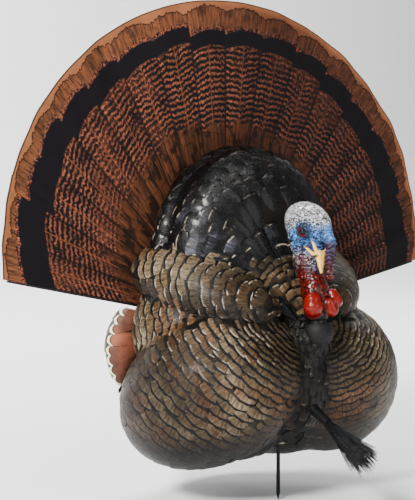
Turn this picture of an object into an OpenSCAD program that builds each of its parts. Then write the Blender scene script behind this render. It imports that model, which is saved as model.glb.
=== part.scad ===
// Strutting turkey decoy on a ground stake.
// The bird faces -Y and stands upright along +Z. X = 0 is its middle plane.
// The origin is on the stake's axis, where the straight rod meets its point.

/* [Body] */
// Wall of the hollow moulded body
wall = 5; // [4:0.5:6]
// Flat rear face of the back, which the fan stands against
rear_y = 106; // [104:1:108]

/* [Stake] */
// Diameter of the steel stake
stake_d = 5; // [4:0.5:6]
// Length of straight rod below the collar
stake_free = 60; // [54:1:62]
// Length of the stake's point
stake_point = 8; // [5:1:14]

/* [Head] */
// Lean of the neck, from upright
neck_lean = 10; // [6:1:14]
// Diameter of the plug that the head turns on
plug_d = 22; // [18:1:24]

/* [Beard] */
// Drop of the beard below level
beard_drop = 25; // [15:1:35]
// Length of the beard from its grommet
beard_l = 115; // [90:1:120]

/* [Fan] */
// Radius of the fan's round edge
fan_r = 330; // [300:1:340]
// Height of the round edge's centre above the hub
fan_rise = 99; // [80:1:110]
// Angle between the fan's two lower edges
fan_spread = 155.2; // [140:0.1:156]
// Ribs on each side of the middle rib
side_ribs = 4; // [4:1:4]
// Thickness of a rib
rib_t = 1.3; // [1:0.1:1.3]
// Width of a rib
rib_w = 5; // [4:0.5:6]
// Diameter of the fan's pivot bolt
bolt_d = 6; // [5:0.5:7]

/* [Hidden] */

$fn = 64;
// Radial play of a shaft in its hole
play = 0.06;
// Gap between faces of bodies that move past each other
gap = 0.3;
// Overlap that keeps a cut from ending on a face
eps = 0.5;

// Lobes of the body: centre, radii, turn, and whether the lobe ends at the rear face.
// Lobes off the middle plane are given for the left side and mirrored to the right.
hump = [[0, 73, 301], [122, 86, 142], [0, 0, 0], true];
cape = [[0, 91, 293], [134, 50, 152], [0, 0, 0], true];
nape = [[0, 31, 249], [86, 74, 118], [-22, 0, 0], true];
boss = [[0, -58, 206], [30, 34, 28], [0, 0, 0], true];
crop = [[0, -42, 155], [44, 38, 70], [0, 0, 0], true];
shoulder = [[88, 53, 269], [60, 122, 44], [16, 0, -22], true];
flank = [[90, 83, 209], [70, 88, 74], [0, 0, 0], true];
breast = [[86, 22, 142], [127, 100, 95], [0, 32, 50], true];
belly = [[38, 61, 105], [88, 96, 67], [0, 0, 0], false];
rump = [[0, 118, 98], [112, 70, 76], [0, 0, 0], false];
thigh = [[88, 89, 117], [78, 70, 76], [0, 0, 0], false];
middle_lobes = [hump, cape, nape, boss, crop, rump];
side_lobes = [shoulder, flank, breast, belly, thigh];
lobes = concat(middle_lobes, side_lobes, [for (l = side_lobes) mirrored(l)]);
// Point inside the body that every lobe is seen from
core = [0, 30, 190];
outer_rings = 34;
outer_sectors = 60;
inner_rings = 20;
inner_sectors = 36;
far = 1000;

// Wing: its lobe, a point inside it, and its inner side
wing_lobe = [[104, 118, 183], [78, 56, 76], [0, 0, 0], false];
wing_core = [128, 128, 206];
wing_inner_x = 45;
wing_rings = 20;
wing_sectors = 28;
// Drop of the wing's top below the fan's lower edge
wing_drop = 7;
// Room between a wing and the lobes beneath it
wing_clear = 11;
fan_edge_up = [-sin(90 - fan_spread / 2), 0, cos(90 - fan_spread / 2)];

// Stake and its bearings
stake_r = stake_d / 2;
// Upper part of the rod, turned down to a shoulder that the collar rests on
spindle_r = stake_r - 0.25;
collar_t = 5;
collar_r = 4.5;
bush_z = stake_free + collar_t + gap;
bush_flange_t = 2;
socket_z = bush_z + bush_flange_t;
socket_top = 236;
socket_r = 9;
socket_bore_r = 6;
bush_l = 16;
cap_l = 14;
cap_t = 10;
stake_top = 240;

// Neck joint, along its own axis
neck_at = [0, -81, 222];
cup_r = 19;
cup_low = -24;
cup_top = 4;
plug_r = plug_d / 2;
plug_low = -16;
plug_top = 28;
neck_recess = 40;
eye_r = 4.8;
eye_at = [19.5, -76, 339];

// Beard, along its own axis
beard_at = [0, -77, 118];
grommet_r = 7;
stud_r = 4;
ferrule_r = 6.5;
ferrule_l = 26;
brush_r = 22;
nut_r = 9;
nut_t = 7;
nut_top = -7;
seat_l = 24;

// Fan, turned about the hub
hub = [0, 209];
bolt_r = bolt_d / 2;
bracket_t = 3;
bracket_w = 52;
bracket_h = 44;
screw_x = 19;
screw_z = 16;
screw_r = 2;
rib_y = rear_y + bracket_t + 0.4;
rib_pitch = 1.7;
rib_eye_r = 9;
rib_hem = 6;
rib_step = fan_spread / 2 / side_ribs;
layers = 2 * side_ribs + 1;
panel_t = 1;
panel_gap = 0.4;
panel_in_r = 40;
plate_y = rib_y + rib_pitch * layers;
plate_t = 2;
plate_r = 24;
washer_y = plate_y + plate_t;
washer_t = 1;
knob_y = washer_y + washer_t + gap;
knob_l = 14;
knob_r = 8;
peg_r = 4;
peg_places = [[116, 205], [144, 192]];

function mirrored(l) = [[-l[0].x, l[0].y, l[0].z], l[1], [l[2].x, -l[2].y, -l[2].z], l[3]];
function over(a, b) = [a.x / b.x, a.y / b.y, a.z / b.z];
function turn_x(v, a) = [v.x, v.y * cos(a) - v.z * sin(a), v.y * sin(a) + v.z * cos(a)];
function turn_y(v, a) = [v.x * cos(a) + v.z * sin(a), v.y, v.z * cos(a) - v.x * sin(a)];
function turn_z(v, a) = [v.x * cos(a) - v.y * sin(a), v.x * sin(a) + v.y * cos(a), v.z];
function unturn(v, a) = turn_x(turn_y(turn_z(v, -a.z), -a.y), -a.x);

// Where a ray from a point crosses a lobe whose radii have grown: [distance in, distance out]
function crossing(l, from, d, grow) =
  let (r = l[1] + grow * [1, 1, 1])
  let (p = over(unturn(from - l[0], l[2]), r), q = over(unturn(d, l[2]), r))
  let (a = q * q, b = p * q, root = b * b - a * (p * p - 1))
  root < 0 ? [far, 0] : [(-b - sqrt(root)) / a, (sqrt(root) - b) / a];
// Distance to a wall at right angles to n, or far if the ray leaves it
function wall_ahead(from, d, n, at) = d * n > 0 ? (at - from * n) / (d * n) : far;
function ahead(t) = t > 0 ? t : far;

// Reach of the body from its core, and of a wing from its own core
function body_reach(d, grow) = max([for (l = lobes)
  min(crossing(l, core, d, grow)[1], l[3] ? wall_ahead(core, d, [0, 1, 0], rear_y + grow) : far)]);
function wing_reach(d) = min(concat(
  [crossing(wing_lobe, wing_core, d, 0)[1]],
  [wall_ahead(wing_core, d, [0, -1, 0], -rear_y - gap)],
  [wall_ahead(wing_core, d, [-1, 0, 0], -wing_inner_x)],
  [wall_ahead(wing_core, d, fan_edge_up, fan_edge_up.z * (hub.y - wing_drop))],
  [for (l = [thigh, rump, belly]) ahead(crossing(l, wing_core, d, wing_clear)[0])]
));

function way(lat, lon) = [cos(lat) * cos(lon), cos(lat) * sin(lon), sin(lat)];
// Points in rings from bottom to top, and the closed skin through them
function ring_ways(rings, sectors) = concat(
  [way(-90, 0)],
  [for (i = [1 : rings - 1], j = [0 : sectors - 1]) way(i * 180 / rings - 90, j * 360 / sectors)],
  [way(90, 0)]
);
module skin(points, rings, sectors) {
  last = len(points) - 1;
  function at(i, j) = 1 + (i - 1) * sectors + j % sectors;
  bottom = [for (j = [0 : sectors - 1]) [0, at(1, j), at(1, j + 1)]];
  top = [for (j = [0 : sectors - 1]) [last, at(rings - 1, j + 1), at(rings - 1, j)]];
  lower = [for (i = [1 : rings - 2], j = [0 : sectors - 1]) [at(i, j), at(i + 1, j), at(i, j + 1)]];
  upper = [for (i = [1 : rings - 2], j = [0 : sectors - 1]) [at(i + 1, j), at(i + 1, j + 1), at(i, j + 1)]];
  polyhedron(points, concat(bottom, top, lower, upper));
}

module body_skin(grow, rings, sectors) {
  skin([for (d = ring_ways(rings, sectors)) core + body_reach(d, grow) * d], rings, sectors);
}
module wing_skin() {
  skin([for (d = ring_ways(wing_rings, wing_sectors)) wing_core + wing_reach(d) * d], wing_rings, wing_sectors);
}

// Places children on the neck's axis, and on the beard's
module on_neck() {
  translate(neck_at) rotate([-neck_lean, 0, 0]) children();
}
module on_beard() {
  translate(beard_at) rotate([90 + beard_drop, 0, 0]) children();
}
// Places a shape drawn along +Z so that it runs back along +Y from y, on the hub's axis
module on_hub(y) {
  translate([hub.x, y, hub.y]) rotate([-90, 0, 0]) children();
}

module rod(r, l) {
  cylinder(r = r, h = l);
}
module ring(r, bore, l) {
  difference() {
    rod(r, l);
    translate([0, 0, -eps]) rod(bore, l + 2 * eps);
  }
}

module at_pegs(side) {
  for (p = peg_places)
    translate([side * p[0], rear_y, p[1]]) rotate([-90, 0, 0]) children();
}
module at_screws() {
  for (sx = [-1, 1], sz = [-1, 1])
    translate([sx * screw_x, 0, sz * screw_z + hub.y]) rotate([-90, 0, 0]) children();
}

// Hollow moulded body, cut for everything that passes through its wall
module body_shell() {
  color("#3b3424") difference() {
    body_skin(0, outer_rings, outer_sectors);
    body_skin(-wall, inner_rings, inner_sectors);
    translate([0, 0, 30]) rod(socket_r + play, 80);
    on_neck() translate([0, 0, (cup_low + cup_top) / 2 + 4]) sphere(cup_r + play);
    on_neck() translate([0, 0, cup_top]) rod(cup_r + gap, neck_recess);
    on_beard() translate([0, 0, -20]) rod(grommet_r + play, 30);
    on_beard() translate([0, 0, nut_top + 0.1 - seat_l]) rod(nut_r + 1, seat_l);
    translate([0, 92, 0]) at_screws() rod(screw_r + play, 20);
    on_hub(92) rod(bolt_r + play, 20);
    for (side = [-1, 1]) translate([0, -10, 0]) at_pegs(side) rod(peg_r + play, 12);
  }
}

// Moulded wing behind the flank, below the fan's lower edge and clear of the thigh and rump
module wing() {
  difference() {
    wing_skin();
    translate([0, -eps, 0]) at_pegs(1) rod(peg_r + play, 13);
  }
}
module left_wing() {
  color("#a8674a") wing();
}
module right_wing() {
  color("#a8674a") mirror([1, 0, 0]) wing();
}
// Dowels that hold the wings on the rear face
module wing_pegs() {
  color("#2a2a2a") for (side = [-1, 1]) translate([0, -8, 0]) at_pegs(side) rod(peg_r, 19);
}

module stake() {
  color("#55565a") {
    rod(stake_r, stake_free);
    rod(spindle_r, stake_top);
    translate([0, 0, -stake_point]) cylinder(r1 = stake_r * 0.25, r2 = stake_r, h = stake_point);
  }
}
module stake_collar() {
  color("#3c3d40") translate([0, 0, stake_free]) ring(collar_r, spindle_r, collar_t);
}
module stake_socket() {
  color("#202020") translate([0, 0, socket_z]) ring(socket_r, socket_bore_r, socket_top - socket_z);
}
// Flanged bush that turns on the collar
module lower_bush() {
  color("#d8d4c8") translate([0, 0, bush_z]) difference() {
    union() {
      rod(socket_r, bush_flange_t);
      rod(socket_bore_r, bush_flange_t + bush_l);
    }
    translate([0, 0, -eps]) rod(spindle_r + play, bush_flange_t + bush_l + 2 * eps);
  }
}
// Closed bush that rests on the stake's top end
module top_bush() {
  color("#d8d4c8") difference() {
    union() {
      translate([0, 0, socket_top - cap_l]) rod(socket_bore_r, cap_l);
      translate([0, 0, socket_top]) rod(socket_r, cap_t);
    }
    translate([0, 0, socket_top - cap_l - eps]) rod(spindle_r + play, stake_top + gap - socket_top + cap_l + eps);
  }
}

// Round cup that the head plugs into
module neck_socket() {
  color("#24221f") on_neck() difference() {
    intersection() {
      translate([0, 0, (cup_low + cup_top) / 2 + 4]) sphere(cup_r);
      translate([0, 0, cup_low]) rod(cup_r + eps, cup_top - cup_low);
    }
    translate([0, 0, plug_low - gap]) rod(plug_r + play, cup_top - plug_low + 2);
  }
}
module neck_plug() {
  color("#2a2a2a") on_neck() translate([0, 0, plug_low]) rod(plug_r, plug_top - plug_low);
}

module ball(at, r) {
  translate(at) sphere(r, $fn = 24);
}
module link(a, ra, b, rb) {
  hull() {
    ball(a, ra);
    ball(b, rb);
  }
}
// Head and neck in one moulding: skull, beak, snood, neck, caruncles and wattles
module head_shell() {
  color("#cfd6dc") difference() {
    union() {
      translate([0, -60, 347]) rotate([18, 0, 0]) scale([25, 38, 27]) sphere(1, $fn = 32);
      link([0, -58, 326], 22, [0, -63, 292], 16);
      link([0, -63, 292], 16, [0, -76, 266], 19);
      link([2, -89, 350], 8, [6, -97, 325], 7);
      link([6, -97, 325], 7, [5, -95, 283], 6);
      link([0, -76, 322], 9, [0, -86, 292], 1.5);
      on_neck() translate([0, 0, cup_top + gap]) rod(17, 36);
      ball([-12, -87, 249], 13);
      ball([13, -92, 243], 8);
      ball([20, -90, 254], 9);
    }
    on_neck() translate([0, 0, cup_top + gap - 20]) rod(30, 20);
    on_neck() translate([0, 0, cup_top]) rod(plug_r, plug_top - cup_top);
    for (side = [-1, 1]) translate([side * (eye_at.x - eye_r + gap), eye_at.y, eye_at.z])
      rotate([0, side * 90, 0]) rod(eye_r, 20);
  }
}
module left_eye() {
  color("#3a1510") translate(eye_at) sphere(eye_r - gap);
}
module right_eye() {
  color("#3a1510") translate([-eye_at.x, eye_at.y, eye_at.z]) sphere(eye_r - gap);
}

module beard_grommet() {
  color("#15181c") on_beard() translate([0, 0, -6]) ring(grommet_r, stud_r, 9);
}
module beard_stud() {
  color("#15181c") on_beard() translate([0, 0, -16]) rod(stud_r - play, 19);
}
module beard_nut() {
  color("#2a2a2a") on_beard() translate([0, 0, nut_top - nut_t]) difference() {
    cylinder(r = nut_r, h = nut_t, $fn = 6);
    translate([0, 0, -eps]) rod(stud_r, nut_t + 2 * eps);
  }
}
// Sleeve that holds the roots of the bristles
module beard_ferrule() {
  color("#101418") on_beard() translate([0, 0, 3]) ring(ferrule_r, stud_r, ferrule_l);
}
// Outer shape of the bundle of bristles
module beard_bristles() {
  brush_z = 3 + ferrule_l;
  color("#16181c") on_beard() {
    translate([0, 0, 3 + gap]) rod(stud_r - play, ferrule_l);
    translate([0, 0, brush_z]) cylinder(r1 = stud_r - play, r2 = brush_r, h = beard_l - brush_z);
  }
}

// Plate that carries the fan on the body's rear face
module fan_bracket() {
  color("#222222") difference() {
    translate([-bracket_w / 2, rear_y, hub.y - bracket_h / 2]) cube([bracket_w, bracket_t, bracket_h]);
    on_hub(rear_y - eps) rod(bolt_r + play, bracket_t + 2 * eps);
    translate([0, rear_y - eps, 0]) at_screws() rod(screw_r + play, bracket_t + 2 * eps);
    translate([0, rear_y + bracket_t - screw_r, 0]) at_screws() screw_head(play);
  }
}
module screw_head(grow) {
  cylinder(r1 = screw_r + grow, r2 = 2 * screw_r + grow, h = screw_r);
}
module bracket_screws() {
  color("#9a9a98") translate([0, rear_y + bracket_t - screw_r, 0]) at_screws() {
    screw_head(0);
    translate([0, 0, -12]) rod(screw_r, 12);
  }
}
// Carriage bolt, with its head inside the body
module fan_bolt() {
  color("#9a9a98") {
    on_hub(rear_y - wall - 4) rod(7, 3.5);
    on_hub(rear_y - wall - 1) rod(bolt_r, knob_y + knob_l + 3 - rear_y + wall + 1);
  }
}
module rib_washers() {
  color("#c8c8c4") for (i = [1 : layers - 1])
    on_hub(rib_y + i * rib_pitch - 0.35) ring(rib_eye_r - 1, bolt_r + play, 0.3);
}
module clamp_plate() {
  color("#222222") on_hub(plate_y) ring(plate_r, bolt_r + play, plate_t);
}
module knob_washer() {
  color("#9a9a98") on_hub(washer_y) ring(knob_r + 1, bolt_r + play, washer_t);
}
// Two-winged knob that locks the fan
module fan_knob() {
  color("#1c1c1c") on_hub(knob_y) difference() {
    union() {
      rod(knob_r, knob_l);
      for (side = [-1, 1]) translate([side * 15, 2.5, 9]) rotate([90, 0, 0]) rod(9, 5);
    }
    translate([0, 0, -eps]) rod(bolt_r + play, knob_l + 2 * eps);
  }
}

// Reach of the round edge from the hub, at an angle from upright
function reach(a) = fan_rise * cos(a) + sqrt(fan_r * fan_r - pow(fan_rise * sin(a), 2));
// Front face of a rib: the outer ribs lie in front, and the two sides take turns
function layer(side, i) = i == 0 ? layers - 1 : 2 * (side_ribs - i) + (side < 0 ? 1 : 0);
function rib_face(side, i) = rib_y + rib_pitch * layer(side, i);

module rib(side, i) {
  a = side * i * rib_step;
  on_hub(rib_face(side, i)) difference() {
    union() {
      rod(rib_eye_r, rib_t);
      rotate([0, 0, a - 90]) translate([0, -rib_w / 2, 0]) cube([reach(a) - rib_hem, rib_w, rib_t]);
    }
    translate([0, 0, -eps]) rod(bolt_r + play, rib_t + 2 * eps);
  }
}
// Gore of fan cloth from rib i - 1 to rib i, in front of both
module panel(side, i) {
  steps = 6;
  low = (i - 1) * rib_step + 0.4;
  high = i * rib_step - 0.4;
  turns = [for (k = [0 : steps]) side * (low + (high - low) * k / steps)];
  edge = [for (a = turns) reach(a) * [sin(a), -cos(a)]];
  foot = [for (k = [0 : steps]) panel_in_r * [sin(turns[steps - k]), -cos(turns[steps - k])]];
  on_hub(rib_face(side, i) - panel_gap - panel_t) linear_extrude(panel_t) polygon(concat(edge, foot));
}
module fan_rib(side, i) {
  color("#1e1a18") rib(side, i);
}
module fan_panel(side, i) {
  color("#6b3d22") panel(side, i);
}

body_shell();
left_wing();
right_wing();
wing_pegs();
stake();
stake_collar();
stake_socket();
lower_bush();
top_bush();
neck_socket();
neck_plug();
head_shell();
left_eye();
right_eye();
beard_grommet();
beard_stud();
beard_nut();
beard_ferrule();
beard_bristles();
fan_bracket();
bracket_screws();
fan_bolt();
rib_washers();
clamp_plate();
knob_washer();
fan_knob();
fan_rib(1, 0);  // rib_middle
fan_rib(1, 1);  // rib_left_1
fan_rib(1, 2);  // rib_left_2
fan_rib(1, 3);  // rib_left_3
fan_rib(1, 4);  // rib_left_4
fan_rib(-1, 1);  // rib_right_1
fan_rib(-1, 2);  // rib_right_2
fan_rib(-1, 3);  // rib_right_3
fan_rib(-1, 4);  // rib_right_4
fan_panel(1, 1);  // panel_left_1
fan_panel(1, 2);  // panel_left_2
fan_panel(1, 3);  // panel_left_3
fan_panel(1, 4);  // panel_left_4
fan_panel(-1, 1);  // panel_right_1
fan_panel(-1, 2);  // panel_right_2
fan_panel(-1, 3);  // panel_right_3
fan_panel(-1, 4);  // panel_right_4
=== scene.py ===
import math

import bpy
import numpy as np
from mathutils import Matrix, Vector


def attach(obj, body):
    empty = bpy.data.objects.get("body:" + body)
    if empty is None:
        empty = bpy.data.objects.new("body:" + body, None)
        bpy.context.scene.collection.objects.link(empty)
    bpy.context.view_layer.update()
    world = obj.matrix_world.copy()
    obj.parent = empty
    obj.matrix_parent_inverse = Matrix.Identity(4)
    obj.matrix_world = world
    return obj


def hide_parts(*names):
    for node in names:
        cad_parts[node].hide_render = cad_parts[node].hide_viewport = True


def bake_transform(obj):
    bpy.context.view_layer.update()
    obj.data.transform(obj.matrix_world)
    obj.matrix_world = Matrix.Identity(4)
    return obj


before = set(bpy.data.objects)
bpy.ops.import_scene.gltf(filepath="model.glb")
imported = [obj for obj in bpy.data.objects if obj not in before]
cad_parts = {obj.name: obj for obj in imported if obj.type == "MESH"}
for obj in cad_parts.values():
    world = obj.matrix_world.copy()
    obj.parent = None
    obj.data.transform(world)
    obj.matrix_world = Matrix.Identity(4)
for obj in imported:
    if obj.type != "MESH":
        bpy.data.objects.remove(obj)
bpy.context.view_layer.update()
MM = 0.001
TAU = 6.2832


# ---------------------------------------------------------------- numbers
# brightness of white under the studio's key light, in the render's own units
STUDIO = 3.9


def lin(*c):
    """Albedo that shows as this 0-255 colour under the studio's light and the default view."""
    c = np.array(c, float)
    # the view greys red and blue a little, so they are first pushed away from the brightest channel
    c = np.clip(c.max() - (c.max() - c) * [1.16, 1.0, 1.15], 4, 250) / 255
    # the default view's tone curve is close to a power law of c / (1 - c)
    return np.minimum((c / (1 - c) / 3.45) ** 1.235 / STUDIO, 0.88)


def rgba(c):
    return (float(c[0]), float(c[1]), float(c[2]), 1.0)


def hash3(i, j, k, seed):
    n = (i * 73856093) ^ (j * 19349663) ^ (k * 83492791) ^ (seed * 2654435761)
    n = (n ^ (n >> 13)) & 0xFFFFFFFF
    n = (n * 1274126177) & 0xFFFFFFFF
    n = n ^ (n >> 16)
    return (n & 0xFFFFFF) / float(0xFFFFFF)


def vnoise(P, cell, seed=0):
    q = P / cell
    b = np.floor(q).astype(np.int64)
    f = q - b
    f = f * f * (3 - 2 * f)
    out = 0
    for dx, dy, dz in np.ndindex(2, 2, 2):
        w = (f[..., 0] if dx else 1 - f[..., 0]) * (f[..., 1] if dy else 1 - f[..., 1])
        w = w * (f[..., 2] if dz else 1 - f[..., 2])
        out = out + w * hash3(b[..., 0] + dx, b[..., 1] + dy, b[..., 2] + dz, seed)
    return out


def fbm(P, cell, seed=0, octaves=3):
    out, amp, tot = 0, 1.0, 0
    for o in range(octaves):
        out = out + amp * vnoise(P, cell / 2 ** o, seed + o)
        tot += amp
        amp *= 0.5
    return out / tot


def worley(P, cell, seed=0):
    q = P / cell
    b = np.floor(q).astype(np.int64)
    f1 = np.full(P.shape[:-1], 9.0)
    f2 = np.full(P.shape[:-1], 9.0)
    for near in np.ndindex(3, 3, 3):
        c = b + np.array(near) - 1
        o = np.stack([hash3(c[..., 0], c[..., 1], c[..., 2], seed + s) for s in (1, 2, 3)], -1)
        d = np.sqrt((((c + 0.15 + 0.7 * o) - q) ** 2).sum(-1))
        f2 = np.minimum(f2, np.maximum(f1, d))
        f1 = np.minimum(f1, d)
    return f1, f2


def step(a, b, x):
    t = np.clip((x - a) / (b - a), 0, 1)
    return t * t * (3 - 2 * t)


def unit(v):
    return v / (np.linalg.norm(v, axis=-1, keepdims=True) + 1e-12)


def mixn(a, b, t):
    return a + (b - a) * t[..., None]


# ---------------------------------------------------------------- meshes
def mesh_object(name, verts, faces, material, sharp=None, **attrs):
    """verts in millimetres. An attribute is a per-vertex array: 1 or 3 wide."""
    me = bpy.data.meshes.new(name)
    fl = []
    for f in faces if isinstance(faces, list) else [faces]:
        fl += f.tolist()
    me.from_pydata((np.asarray(verts) * MM).tolist(), [], fl)
    for key, val in dict(attrs, rest=verts).items():
        val = np.asarray(val, np.float32)
        if val.ndim == 1:
            a = me.attributes.new(key, "FLOAT", "POINT")
            a.data.foreach_set("value", val)
        else:
            a = me.attributes.new(key, "FLOAT_VECTOR", "POINT")
            a.data.foreach_set("vector", val.ravel())
    me.polygons.foreach_set("use_smooth", np.ones(len(me.polygons), bool))
    if sharp:
        me.set_sharp_from_angle(angle=sharp)
    me.update()
    ob = bpy.data.objects.new(name, me)
    bpy.context.scene.collection.objects.link(ob)
    me.materials.append(material)
    return ob


def join_parts(parts):
    """Stacks (verts, faces list, attrs) parts into one."""
    V, Fq, Ft, A, n = [], [], [], {}, 0
    for v, faces, at in parts:
        V.append(v)
        for f in faces:
            (Fq if f.shape[1] == 4 else Ft).append(f + n)
        for k, x in at.items():
            A.setdefault(k, []).append(x)
        n += len(v)
    faces = [np.concatenate(x) for x in (Fq, Ft) if x]
    return np.concatenate(V), faces, {k: np.concatenate(x) for k, x in A.items()}


def settle(ob, body, node=None):
    """Says which body a piece rides on, and the CAD node it stands for."""
    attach(ob, body)
    if node:
        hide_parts(node)


def grid_faces(rows, cols, wrap=False):
    c = cols if wrap else cols - 1
    i, j = np.meshgrid(np.arange(rows - 1), np.arange(c), indexing="ij")
    a = i * cols + j
    b = i * cols + (j + 1) % cols
    return np.stack([a, b, b + cols, a + cols], -1).reshape(-1, 4)


def outline(rows, cols):
    """Vertex numbers round the edge of a grid."""
    return np.concatenate([np.arange(cols), cols * np.arange(2, rows) - 1, cols * rows - 1 - np.arange(cols),
                           cols * np.arange(rows - 2, 0, -1)])


def nets(lo, hi, h, fn):
    """Closed surface of fn(P) < 0 by surface nets."""
    n = [int(np.ceil((hi[k] - lo[k]) / h)) + 1 for k in range(3)]
    ax = [lo[k] + h * np.arange(n[k]) for k in range(3)]
    G = np.stack(np.meshgrid(*ax, indexing="ij"), -1)
    V = fn(G)
    s = V < 0
    cnt = np.zeros([k - 1 for k in n], int)
    corners = list(np.ndindex(2, 2, 2))
    for i, j, k in corners:
        cnt += s[i:n[0] - 1 + i, j:n[1] - 1 + j, k:n[2] - 1 + k]
    act = (cnt > 0) & (cnt < 8)
    idx = np.argwhere(act)
    vid = -np.ones(act.shape, int)
    vid[act] = np.arange(len(idx))
    acc = np.zeros((len(idx), 3))
    w = np.zeros(len(idx))
    for a in corners:
        for b in corners:
            if a < b and sum(abs(np.array(a) - b)) == 1:
                ia, ib = idx + np.array(a), idx + np.array(b)
                va, vb = V[tuple(ia.T)], V[tuple(ib.T)]
                m = (va < 0) != (vb < 0)
                t = np.where(m, va / (va - vb + 1e-12), 0)
                acc[m] += (ia + (ib - ia) * t[:, None])[m]
                w[m] += 1
    v = np.array(lo) + h * acc / w[:, None]
    faces = []
    for axis in range(3):
        o1, o2 = [k for k in range(3) if k != axis]
        A = [slice(0, n[k]) for k in range(3)]
        B = list(A)
        A[axis] = slice(0, n[axis] - 1)
        B[axis] = slice(1, n[axis])
        e = np.argwhere(s[tuple(A)] != s[tuple(B)])
        e = e[(e[:, o1] > 0) & (e[:, o1] < n[o1] - 1) & (e[:, o2] > 0) & (e[:, o2] < n[o2] - 1)]
        ins = s[tuple(A)][tuple(e.T)]
        q = []
        for da, db in ((0, 0), (-1, 0), (-1, -1), (0, -1)):
            c = e.copy()
            c[:, o1] += da
            c[:, o2] += db
            q.append(vid[tuple(c.T)])
        q = np.stack(q, 1)
        flip = ins if axis != 1 else ~ins
        q[~flip] = q[~flip][:, ::-1]
        faces.append(q)
    return v, np.concatenate(faces)


def gradient(fn, P, e=0.4):
    d0 = fn(P)
    g = np.stack([(fn(P + e * a) - d0) / e for a in np.eye(3)], -1)
    return d0, g


def snap(fn, P, n=3):
    """Moves points to the surface fn = 0 and returns them with its normals."""
    for _ in range(n):
        d, g = gradient(fn, P)
        P = P - g * (d / np.maximum((g ** 2).sum(-1), 0.05))[..., None]
    return P, unit(gradient(fn, P)[1])


# ---------------------------------------------------------------- materials
class V:
    """A shader value that does arithmetic by adding math nodes."""

    def __init__(s, t, k):
        s.t, s.k = t, k

    def m(s, op, *a):
        n = s.t.nodes.new("ShaderNodeMath")
        n.operation = op
        for i, x in enumerate((s,) + a):
            plug(s.t, n.inputs[i], x)
        return V(s.t, n.outputs[0])

    def __add__(s, o): return s.m("ADD", o)
    def __radd__(s, o): return s.m("ADD", o)
    def __sub__(s, o): return s.m("SUBTRACT", o)
    def __rsub__(s, o): return (s * -1.0) + o
    def __mul__(s, o): return s.m("MULTIPLY", o)
    def __rmul__(s, o): return s.m("MULTIPLY", o)
    def __truediv__(s, o): return s.m("DIVIDE", o)
    def sin(s): return s.m("SINE")
    def abs(s): return s.m("ABSOLUTE")
    def floor(s): return s.m("FLOOR")
    def fract(s): return s.m("FRACT")
    def max(s, o): return s.m("MAXIMUM", o)
    def pow(s, o): return s.m("POWER", o)

    def ramp(s, a, b, lo=0.0, hi=1.0):
        n = s.t.nodes.new("ShaderNodeMapRange")
        n.interpolation_type = "SMOOTHSTEP"
        flip = plain(a) and plain(b) and a > b
        for i, x in enumerate((s,) + ((b, a, hi, lo) if flip else (a, b, lo, hi))):
            plug(s.t, n.inputs[i], x)
        return V(s.t, n.outputs[0])


def plain(x):
    return not isinstance(x, V)


def plug(t, inp, x):
    if isinstance(x, V):
        t.links.new(x.k, inp)
    elif isinstance(x, (tuple, list, np.ndarray)) and inp.type == "RGBA":
        inp.default_value = rgba(x)
    else:
        inp.default_value = x


class Mat:
    def __init__(s, name, **fixed):
        s.m = bpy.data.materials.new(name)
        s.m.use_nodes = True
        s.t = s.m.node_tree
        s.b = s.t.nodes["Principled BSDF"]
        s.set(**fixed)

    def attr(s, name, out="Fac"):
        n = s.t.nodes.new("ShaderNodeAttribute")
        n.attribute_name = name
        return V(s.t, n.outputs[out])

    def obj(s):
        return V(s.t, s.t.nodes.new("ShaderNodeTexCoord").outputs["Object"])

    def stretch(s, vec, scale):
        n = s.t.nodes.new("ShaderNodeMapping")
        plug(s.t, n.inputs[0], vec)
        n.inputs["Scale"].default_value = scale
        return V(s.t, n.outputs[0])

    def noise(s, vec, scale, detail=2.0, rough=0.5, distort=0.0):
        n = s.t.nodes.new("ShaderNodeTexNoise")
        plug(s.t, n.inputs["Vector"], vec)
        for k, x in (("Scale", scale), ("Detail", detail), ("Roughness", rough), ("Distortion", distort)):
            n.inputs[k].default_value = x
        return V(s.t, n.outputs["Fac"])

    def cell_edges(s, vec, scale, rand):
        n = s.t.nodes.new("ShaderNodeTexVoronoi")
        n.feature = "DISTANCE_TO_EDGE"
        plug(s.t, n.inputs["Vector"], vec)
        n.inputs["Scale"].default_value = scale
        n.inputs["Randomness"].default_value = rand
        return V(s.t, n.outputs["Distance"])

    def combine(s, x, y, z=0.0):
        n = s.t.nodes.new("ShaderNodeCombineXYZ")
        for i, a in enumerate((x, y, z)):
            plug(s.t, n.inputs[i], a)
        return V(s.t, n.outputs[0])

    def mix(s, f, a, b, kind="MIX"):
        n = s.t.nodes.new("ShaderNodeMix")
        n.data_type = "RGBA"
        n.blend_type = kind
        plug(s.t, n.inputs[0], f)
        plug(s.t, n.inputs[6], a)
        plug(s.t, n.inputs[7], b)
        return V(s.t, n.outputs[2])

    def times(s, col, rgb):
        return s.mix(1.0, col, rgb, "MULTIPLY")

    def set(s, **kw):
        for k, v in kw.items():
            plug(s.t, s.b.inputs[k.replace("_", " ").title().replace("Ior", "IOR")], v)

    def bump(s, height, strength=0.5, distance=0.5):
        n = s.t.nodes.new("ShaderNodeBump")
        n.inputs["Strength"].default_value = strength
        n.inputs["Distance"].default_value = distance * MM
        plug(s.t, n.inputs["Height"], height)
        s.t.links.new(n.outputs[0], s.b.inputs["Normal"])


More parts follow.
